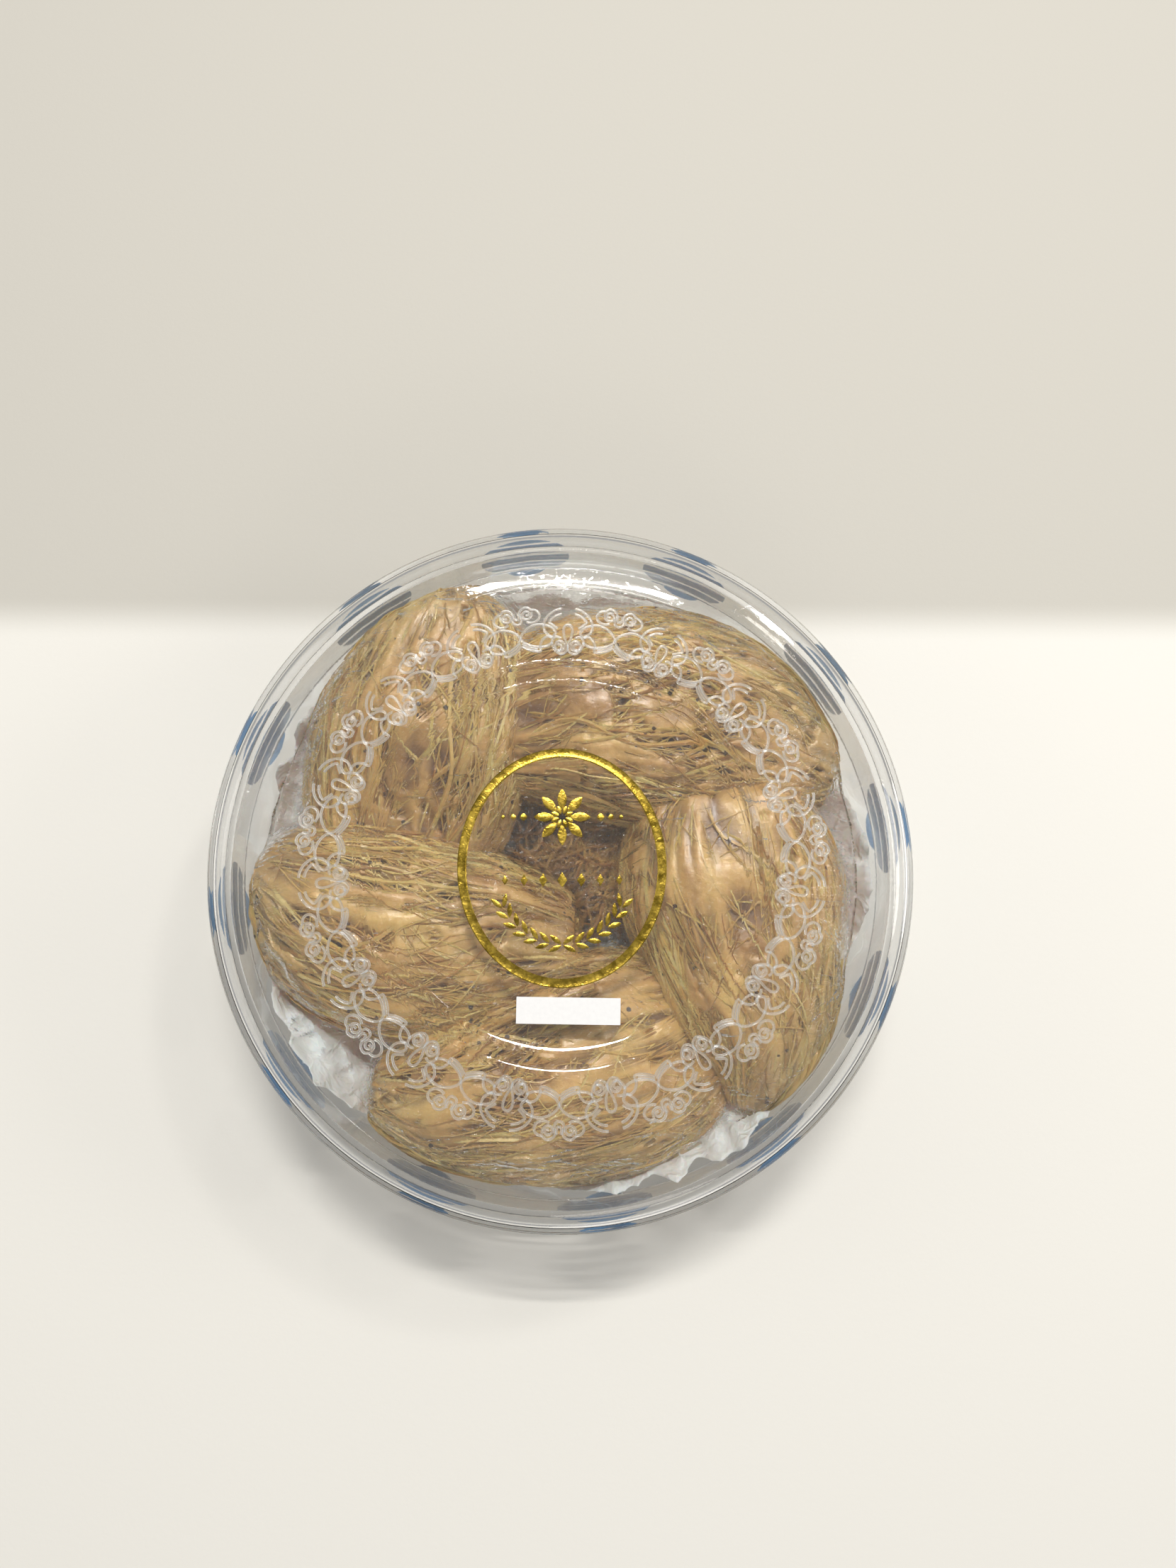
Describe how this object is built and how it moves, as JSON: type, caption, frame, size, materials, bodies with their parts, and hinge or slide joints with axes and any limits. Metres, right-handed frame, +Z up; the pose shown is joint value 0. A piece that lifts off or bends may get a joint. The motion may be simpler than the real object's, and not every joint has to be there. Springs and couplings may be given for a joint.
{
  "type": "edible birds nest in a round clear box",
  "caption": "Half-cup swiftlet nests of hardened strands, overlapping like a pinwheel under film in a round clear box sealed with tape.",
  "frame": {"origin": "on the box's axis, at the plane that its foot stands on", "axes": "+Z up through the lid, -Y towards a reader of the label, +X to the reader's right"},
  "size_m": [0.1799, 0.1799, 0.052],
  "materials": {
    "clear_plastic": "clear glossy moulded polystyrene",
    "nest_strands": "hardened translucent strands, half gloss, tan with olive and brown ends",
    "tissue": "thin crumpled white paper",
    "film": "thin clear glossy film",
    "label_paper": "plain matt white paper",
    "tape_film": "clear tape with plain blue prints"
  },
  "bodies": {
    "root": {"box_tray": "clear_plastic", "box_lid": "clear_plastic", "nest_back_left": "nest_strands", "nest_back_right": "nest_strands", "nest_left": "nest_strands", "nest_front": "nest_strands", "nest_right": "nest_strands", "tissue_paper": "tissue", "cling_film": "film", "paper_label": "label_paper", "seal_tape": "tape_film"}
  },
  "joints": []
}
